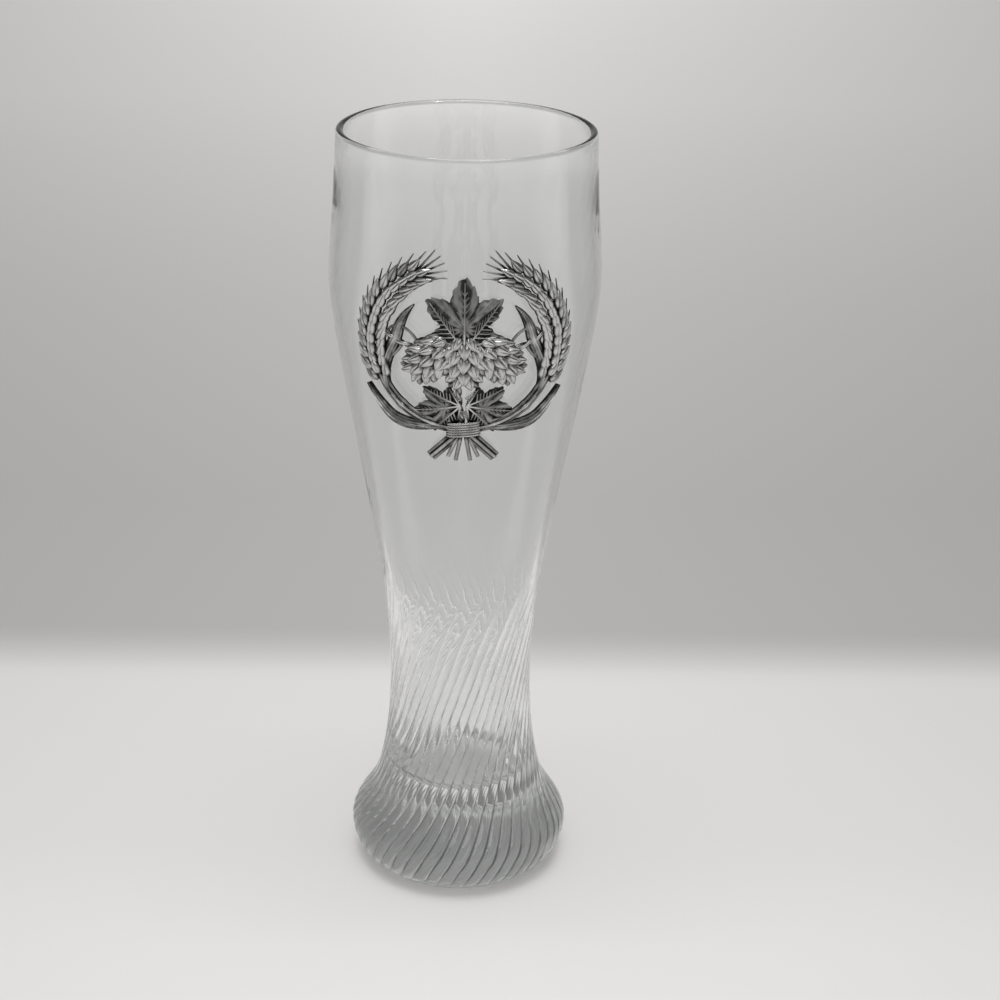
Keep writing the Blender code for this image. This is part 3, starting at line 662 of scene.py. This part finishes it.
def hop_leaf(at, angle, length, metal):
    """A leaf of five toothed lobes, domed to its middle, with raised veins and side veins in each lobe."""
    lobes = ((0, 1.0), (54, 0.92), (-54, 0.92), (110, 0.68), (-110, 0.68))
    middle = np.array((0, 0.34 * length))
    degrees = np.arange(0, 360, 2.5)
    reach = np.full(len(degrees), 0.44)
    for lobe, size in lobes:
        away = np.abs((degrees - lobe + 180) % 360 - 180)
        reach = np.maximum(reach, size * (1 - 0.46 * (away / 30) ** 1.15))
    reach *= (1 - 0.34) * length * (1 + 0.035 * (np.arange(len(degrees)) % 4 - 1.5) / 1.5)
    edge = np.column_stack((-reach * np.sin(np.radians(degrees)), reach * np.cos(np.radians(degrees))))
    furrow = np.cos(np.radians(degrees) * 6.6) ** 2

    def level(share):
        return LEAF_HEIGHT * (0.42 + 0.46 * (1 - share**1.5) - 0.28 * furrow * share)

    rings = [lifted(middle + 0.2 * edge, 0.0), lifted(middle + 0.97 * edge, 0.0)]
    for share in (1, 0.93, 0.82, 0.68, 0.52, 0.36, 0.2, 0.06):
        rings.append(lifted(middle + share * edge, level(share)))
    points, faces = closed_skin(rings)
    leaf = plain_mesh("hop_leaf", turned(points, at, angle), faces=faces)
    leaf.data.materials.append(metal)
    bars = []
    for lobe, size in lobes:
        way = math.radians(-lobe)
        tip = middle + 0.90 * size * 0.66 * length * np.array((math.sin(way), math.cos(way)))
        root = np.array((0, 0.06 * length))
        line = root + np.linspace(0, 1, 12)[:, None] * (tip - root)
        rise = LEAF_HEIGHT * (0.90 - 0.46 * np.linspace(0, 1, 12) ** 1.5)
        bars.append((turned(lifted(line, rise), at, angle), np.linspace(0.00042, 0.00016, 12)))
        for step in (3, 4, 5, 6, 7, 8, 9):
            for rib_side in (-1, 1):
                turn = way + rib_side * math.radians(42)
                steps = np.linspace(0, 0.022 * (11.5 - step) * size * length, 6)[:, None]
                twig = line[step] + steps * np.array((math.sin(turn), math.cos(turn)))
                fall = rise[step] - np.linspace(0.0, 0.08, 6) * LEAF_HEIGHT
                bars.append((turned(lifted(twig, fall), at, angle), np.linspace(0.00024, 0.00012, 6)))
    return [leaf, round_bars("veins", bars, metal)]


def grass_blade(side, first_turn, last_turn, draw, metal):
    """A long folded leaf that leaves the straw and draws away from it."""
    shares = np.linspace(0, 1, 33)
    away = (1 - draw * smooth_step(1.6 * shares))[:, None]
    centre = np.array((0, WREATH_LIFT))
    line = centre + (wreath_point(first_turn + (last_turn - first_turn) * shares, side).T - centre) * away
    way = headings(line)
    across = np.linspace(-1, 1, 11)
    rings = []
    for (x, y), turn, share in zip(line, way, shares):
        half = BLADE_HALF_WIDTH * (0.06 + 0.94 * math.sin(math.pi * (0.06 + 0.93 * share)) ** 0.8)
        top = LEAF_HEIGHT * (0.30 + 0.55 * (1 - np.abs(across)) + 0.05 * np.cos(5 * math.pi * across))
        upper = np.column_stack((x + half * across * math.cos(turn), y - half * across * math.sin(turn), top))
        lower = upper[::-1] * (1, 1, 0)
        rings.append(np.vstack((upper, lower)))
    points, faces = closed_skin(rings)
    blade = plain_mesh("grass_blade", points, faces=faces)
    blade.data.materials.append(metal)
    return [blade]


def bowed(start, end, bow, steps=40):
    """A line from one flat place to another that bows to one side."""
    start, end = np.array(start), np.array(end)
    share = np.linspace(0, 1, steps)[:, None]
    across = np.array((start[1] - end[1], end[0] - start[0]))
    return start + (end - start) * share + across * bow * np.sin(math.pi * share)


def tendril(start, angle, curl, size):
    """A fine shoot that rolls up into a spiral at its end."""
    turns = np.linspace(0, 1, 44)
    way = angle + curl * 9.5 * turns**1.7
    steps = size * (1.15 - turns)[:, None] * np.column_stack((np.sin(way), np.cos(way)))
    line = np.array(start) + np.cumsum(steps, axis=0) / 16
    return lifted(line, 0.0006), np.linspace(0.00046, 0.00026, 44)


def straw_bars():
    """Stalks with their joints, the crossed ends under the band, straws, bines, tendrils and the cord."""
    bars = []
    for side in (-1, 1):
        line = [wreath_point(turn, side) for turn in np.linspace(EAR_START + 6, 8, 30)]
        for share in np.linspace(0.2, 1, 12):
            line.append((-side * 0.75 * STRAW_LENGTH * share, FOOT[1] - 0.8 * STRAW_LENGTH * share))
        joints = 1.0
        for joint in (13, 24):
            joints = joints + 0.35 * np.exp(-((np.arange(42) - joint) / 0.9) ** 2)
        for points, radius in strands(line, 0.0007, 3, STRAW_RADIUS, 0.00055, 0):
            bars.append((points, radius * joints))
        for spread in (10, 22):
            way = math.radians(180 + side * spread)
            start = FOOT + (0, BAND_HALF_HEIGHT / 2)
            end = start + STRAW_LENGTH * (1.02 - 0.004 * spread) * np.array((math.sin(way), math.cos(way)))
            bars.append((lifted(np.linspace(start, end, 10), 0.0006), STRAW_RADIUS * 0.95))
        link = bowed(wreath_point(EAR_START + 42, side), (0, SPRIG_LIFT), 0.16 * side)
        bars += strands(link, 0.0008, 2, BINE_RADIUS, 0.00038, 3.5)
        bars.append(tendril(link[14], side * 2.6, -side, 0.0135))
        bars.append(tendril(link[22], side * 0.5, side, 0.0125))
    bars += strands(bowed(FOOT, (0, SPRIG_LIFT + 0.0024), 0.05), 0.0008, 2, BINE_RADIUS, 0.00038, 5)
    for wrap in np.linspace(-1, 1, 6):
        share = np.linspace(-1, 1, 25)
        slant = wrap * 0.84 * BAND_HALF_HEIGHT + 0.0004 * share
        line = FOOT + np.column_stack((BAND_HALF_WIDTH * share, slant))
        arch = 0.0004 + (BAND_HEIGHT - 2 * CORD_RADIUS) * np.sqrt(np.clip(1 - (0.98 * share) ** 4, 0, 1))
        bars += strands(line, arch, 2, 0.72 * CORD_RADIUS, 0.45 * CORD_RADIUS, 6)
    return bars


def standing_proud(points):
    """How far each flat point stands out from the casting round it, 0 in a recess, 1 on a high point."""
    cell = 0.00016
    spots = ((points[:, :2] - points[:, :2].min(axis=0)) / cell).astype(int) + 16
    top = np.zeros(spots.max(axis=0) + 17)
    np.maximum.at(top, (spots[:, 0], spots[:, 1]), points[:, 2])
    for _ in range(3):
        padded = np.pad(top, 1)
        rows, columns = top.shape
        shifts = [padded[i : i + rows, j : j + columns] for i in range(3) for j in range(3)]
        near = np.max(shifts, axis=0)
        top = np.where(top > 0, top, near)
    known = (top > 0).astype(float)

    def blurred(values, reach):
        window = np.ones(2 * reach + 1) / (2 * reach + 1)
        for axis in (0, 1, 0, 1):
            values = np.apply_along_axis(np.convolve, axis, values, window, "same")
        return values

    proud = np.full(len(points), 0.5)
    for reach, weight in ((3, 1100.0), (9, 130.0)):
        mean = blurred(top * known, reach) / np.maximum(blurred(known, reach), 0.75)
        proud += weight * (points[:, 2] - mean[spots[:, 0], spots[:, 1]])
    return np.clip(proud, 0, 1)


def fill_ramp(ramp, stops):
    """Sets a colour ramp from (position, colour) pairs."""
    while len(ramp.color_ramp.elements) < len(stops):
        ramp.color_ramp.elements.new(0.5)
    for element, (where, colour) in zip(ramp.color_ramp.elements, stops):
        element.position = where
        element.color = (*colour, 1)


def aged_pewter():
    material, shader, add = new_material("aged_pewter")
    links = material.node_tree.links
    proud = add("ShaderNodeAttribute", attribute_name="proud").outputs["Fac"]
    rubbing = add("ShaderNodeGroup", 380.0, -0.16, 0.16, node_tree=mottle).outputs[0]
    worn = add("ShaderNodeMath", proud, rubbing, operation="ADD", use_clamp=True).outputs[0]
    ramp = add("ShaderNodeValToRGB", worn)
    tones = ((0.0, 0.006), (0.28, 0.022), (0.41, 0.14), (0.52, 0.26), (0.74, 0.36), (1.0, 0.58))
    fill_ramp(ramp, [(where, (tone, tone, 0.98 * tone)) for where, tone in tones])
    links.new(ramp.outputs[0], shader.inputs["Base Color"])
    links.new(add("ShaderNodeMapRange", worn, 0.2, 0.9, 0.52, 0.20).outputs[0], shader.inputs["Roughness"])
    links.new(add("ShaderNodeMapRange", worn, 0.2, 0.55, 0.35, 1.0).outputs[0], shader.inputs["Metallic"])
    grain = add("ShaderNodeGroup", 2600.0, 0.0, 1.0, node_tree=mottle).outputs[0]
    bump = add("ShaderNodeBump", named={"Strength": 0.35, "Distance": 0.00006, "Height": grain})
    links.new(bump.outputs[0], shader.inputs["Normal"])
    return material


def badge_casting():
    metal = aged_pewter()
    motifs = hop_leaf((0, SPRIG_LIFT - 0.14 * TOP_LEAF_LENGTH), 0, TOP_LEAF_LENGTH, metal)
    motifs += hop_cone((0, SPRIG_LIFT + HOP_LENGTH / 8), math.pi, HOP_HEIGHT, metal)
    motifs.append(round_bars("straws", straw_bars(), metal))
    for side in (-1, 1):
        motifs += ear(side, metal)
        motifs += grass_blade(side, EAR_START - 12, EAR_START + 72, 0.27, metal)
        motifs += grass_blade(side, 10, EAR_START, -0.22, metal)
        place = (side * 0.7 * HOP_HALF_WIDTH, SPRIG_LIFT)
        motifs += hop_cone(place, math.pi - side * math.radians(46), 0.88 * HOP_HEIGHT, metal)
        motifs += hop_leaf((0, -0.0144), side * math.radians(102), SIDE_LEAF_LENGTH, metal)
    whole = bmesh.new()
    for motif in motifs:
        whole.from_mesh(motif.data)
        bpy.data.objects.remove(motif)
    bmesh.ops.recalc_face_normals(whole, faces=whole.faces)
    mesh = bpy.data.meshes.new("badge_casting")
    whole.to_mesh(mesh)
    whole.free()
    mesh.materials.append(metal)
    points = np.empty(3 * len(mesh.vertices))
    mesh.vertices.foreach_get("co", points)
    points = np.maximum(points.reshape(-1, 3), (-1, -1, 0))
    mesh.attributes.new("proud", "FLOAT", "POINT").data.foreach_set("value", standing_proud(points))
    mesh.vertices.foreach_set("co", bent_round_bowl(points, BADGE_STANDOFF).ravel())
    mesh.shade_smooth()
    mesh.set_sharp_from_angle(angle=math.radians(50))
    badge = bpy.data.objects.new("badge_casting", mesh)
    bpy.context.scene.collection.objects.link(badge)
    return badge


badge = badge_casting()
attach(badge, "root")
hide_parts("pewter_badge")


# Stage: a matt pale sheet in a soft room with a narrow strip above and a softbox in front. Its colour is
# painted shade, darker behind the glass like a sweep of paper and darker to the sides. Light Path makes it
# glow for seen rays, which keeps the shadow faint, paints a shadow behind the foot that only the glass shows,
# and paints brighter patches into reflections.

FLOOR_GAP = 0.0003
FLOOR_HALF = 6.0


def floor_material():
    material, shader, add = new_material("pale_floor", roughness=0.9)
    shader.inputs["Specular IOR Level"].default_value = 0.0
    place = add("ShaderNodeTexCoord").outputs["Object"]
    across, depth, _ = add("ShaderNodeSeparateXYZ", place).outputs
    # Painted shade: the floor's colour is lighter towards the front, drops just behind the glass where a
    # paper sweep would stand in shade, and rises again far off.
    share = add("ShaderNodeMapRange", depth, -0.4, 2.0, 0.0, 1.0).outputs[0]
    ramp = add("ShaderNodeValToRGB", share)
    stops = (
        (-0.25, 0.84), (-0.06, 0.79), (0.0, 0.745), (0.122, 0.73), (0.140, 0.58),
        (0.158, 0.46), (0.30, 0.46), (0.60, 0.53), (1.14, 0.69), (1.8, 0.80),
    )
    tints = [((where + 0.4) / 2.4, (tone, 0.985 * tone, 0.968 * tone)) for where, tone in stops]
    fill_ramp(ramp, tints)
    calculate, eased = math_maker(add), ease_maker(add)
    # Painted shade: fade darkens the floor's colour towards the sides, with a slight lift near the middle.
    aside = calculate("ABSOLUTE", across)
    fade = add("ShaderNodeMapRange", aside, 0.02, 0.60, 1.03, 0.70).outputs[0]
    # Painted shadow: a soft dark ellipse on the floor just behind the foot, shown only to rays that come
    # through the glass.
    wide = calculate("DIVIDE", across, 0.026)
    deep = calculate("DIVIDE", calculate("SUBTRACT", depth, 0.0425), 0.0055)
    near = calculate("SQRT", calculate("MULTIPLY_ADD", wide, wide, calculate("MULTIPLY", deep, deep)))
    shade = eased(near, 0.6, 1.2, 0.32, 1.0)
    path = add("ShaderNodeLightPath").outputs
    shade = calculate("MAXIMUM", shade, calculate("SUBTRACT", 1.0, path["Is Transmission Ray"]))
    fade = calculate("MULTIPLY", fade, shade)
    tone = add("ShaderNodeVectorMath", ramp.outputs[0], named={"Scale": fade}, operation="SCALE").outputs[0]
    material.node_tree.links.new(tone, shader.inputs["Base Color"])
    # Painted light: for camera, reflection and transmission rays the floor partly glows in its own painted
    # colour, which lightens its shadows.
    seen = calculate("MAXIMUM", path["Is Camera Ray"], path["Is Glossy Ray"])
    seen = calculate("MAXIMUM", seen, path["Is Transmission Ray"])
    # Painted shadow: the glow's share is smaller near the foot, so the floor there stays darker.
    reach = calculate("SQRT", calculate("MULTIPLY_ADD", across, across, calculate("MULTIPLY", depth, depth)))
    away = eased(reach, 0.024, 0.046, 0.15, 0.65)
    # Painted reflections: after a glossy bounce the floor glows brighter in patches beside the glass, and
    # darker towards the front when the reflection is also seen through glass.
    mirrored = calculate("GREATER_THAN", path["Glossy Depth"], 0.5)
    beside = eased(aside, 0.34, 0.44, 0.0, 1.1)
    abreast = eased(calculate("ABSOLUTE", calculate("ADD", depth, 0.02)), 0.06, 0.20, 1.0, 0.0)
    painted_reflection_patch = calculate("MULTIPLY", beside, abreast)
    inside = calculate("GREATER_THAN", path["Transmission Depth"], 0.5)
    painted_front_shade = eased(depth, -0.45, -0.15, -0.6, 0.0)
    painted_reflection_patch = calculate("MULTIPLY_ADD", inside, painted_front_shade, painted_reflection_patch)
    strength = calculate("MULTIPLY", calculate("MULTIPLY_ADD", mirrored, painted_reflection_patch, 1.0), 0.925)
    painted_glow = add("ShaderNodeEmission", tone, strength).outputs[0]
    shown = add("ShaderNodeMixShader", calculate("MULTIPLY", seen, away), shader.outputs[0], painted_glow).outputs[0]
    material.node_tree.links.new(shown, material.node_tree.nodes["Material Output"].inputs["Surface"])
    return material


corners = [(x * FLOOR_HALF, y * FLOOR_HALF, -FLOOR_GAP) for x, y in ((-1, -1), (1, -1), (1, 1), (-1, 1))]
table = plain_mesh("table", corners, faces=[(0, 1, 2, 3)])
table.data.materials.append(floor_material())

world = bpy.data.worlds.new("soft_room")
bpy.context.scene.world = world
world.use_nodes = True
add = node_maker(world.node_tree)
calculate, eased = math_maker(add), ease_maker(add)
look = add("ShaderNodeSeparateXYZ", add("ShaderNodeTexCoord").outputs["Generated"]).outputs
ramp = add("ShaderNodeValToRGB", add("ShaderNodeMapRange", look["Z"], 0.0, 1.0, 0.0, 1.0).outputs[0])
stops = (
    (0.0, 0.50), (0.12, 0.44), (0.28, 0.26), (0.84, 0.27), (0.90, 0.5), (0.93, 2.0), (0.95, 5.0), (1.0, 5.5)
)
fill_ramp(ramp, [(where, (tone, tone, tone)) for where, tone in stops])
side = eased(calculate("ABSOLUTE", look["X"]), 0.35, 0.85, 1.0, 0.45)
front = eased(look["Y"], -0.85, -0.35, 0.65, 1.0)
path = add("ShaderNodeLightPath").outputs
direct = calculate("LESS_THAN", path["Diffuse Depth"], 0.5)
through = calculate("MULTIPLY", path["Is Transmission Ray"], direct)
through = calculate("MULTIPLY", through, calculate("GREATER_THAN", look["Z"], 0.3))
most = add("ShaderNodeMapRange", through, 0.0, 1.0, 9.0, 0.30).outputs[0]
tone = calculate("MINIMUM", ramp.outputs[0], most)
up = eased(look["Z"], 0.05, 0.30, 0.0, 1.0)
dim = calculate("SUBTRACT", calculate("MULTIPLY", side, front), 1.0)
tone = calculate("MULTIPLY", tone, calculate("MULTIPLY_ADD", up, dim, 1.0))
background = world.node_tree.nodes["Background"]
world.node_tree.links.new(tone, background.inputs["Color"])
background.inputs["Strength"].default_value = 1.0


def soft_lamp(name, place, aim, width, height, power):
    lamp = bpy.data.lights.new(name, "AREA")
    lamp.shape = "RECTANGLE"
    lamp.size, lamp.size_y, lamp.energy = width, height, power
    thing = bpy.data.objects.new(name, lamp)
    thing.location = place
    thing.rotation_euler = (Vector(aim) - Vector(place)).to_track_quat("-Z", "Y").to_euler()
    thing.visible_camera = False
    bpy.context.scene.collection.objects.link(thing)


soft_lamp("ceiling_strip", (0.0, -0.02, 0.62), (0, 0, 0), 0.30, 0.012, 0.5)
soft_lamp("front_softbox", (0.0, -0.80, 0.80), (0, 0, 0.19), 0.80, 0.40, 1.5)

CAMERA_PLACE = (0.0, -0.640, 0.39547)
CAMERA_YAW, CAMERA_PITCH, CAMERA_ROLL = (math.radians(angle) for angle in (1.0656, 22.8525, 1.1234))
lens = bpy.data.cameras.new("photo_lens")
lens.sensor_width = 36.0
lens.lens = 78.98
lens.clip_start = 0.01
camera = bpy.data.objects.new("photo_camera", lens)
bpy.context.scene.collection.objects.link(camera)
level_ahead = Vector((math.sin(CAMERA_YAW), math.cos(CAMERA_YAW), 0)) * math.cos(CAMERA_PITCH)
ahead = level_ahead - Vector((0, 0, math.sin(CAMERA_PITCH)))
right = Vector((math.cos(CAMERA_YAW), -math.sin(CAMERA_YAW), 0))
down = ahead.cross(right)
tilted_right = math.cos(CAMERA_ROLL) * right - math.sin(CAMERA_ROLL) * down
tilted_down = math.sin(CAMERA_ROLL) * right + math.cos(CAMERA_ROLL) * down
tilt = Matrix((tilted_right, -tilted_down, -ahead)).transposed()
camera.matrix_world = Matrix.Translation(CAMERA_PLACE) @ tilt.to_4x4()
bpy.context.scene.camera = camera

bpy.context.scene.view_settings.view_transform = "Standard"
for limit in ("max_bounces", "glossy_bounces", "transmission_bounces"):
    setattr(bpy.context.scene.cycles, limit, 48)
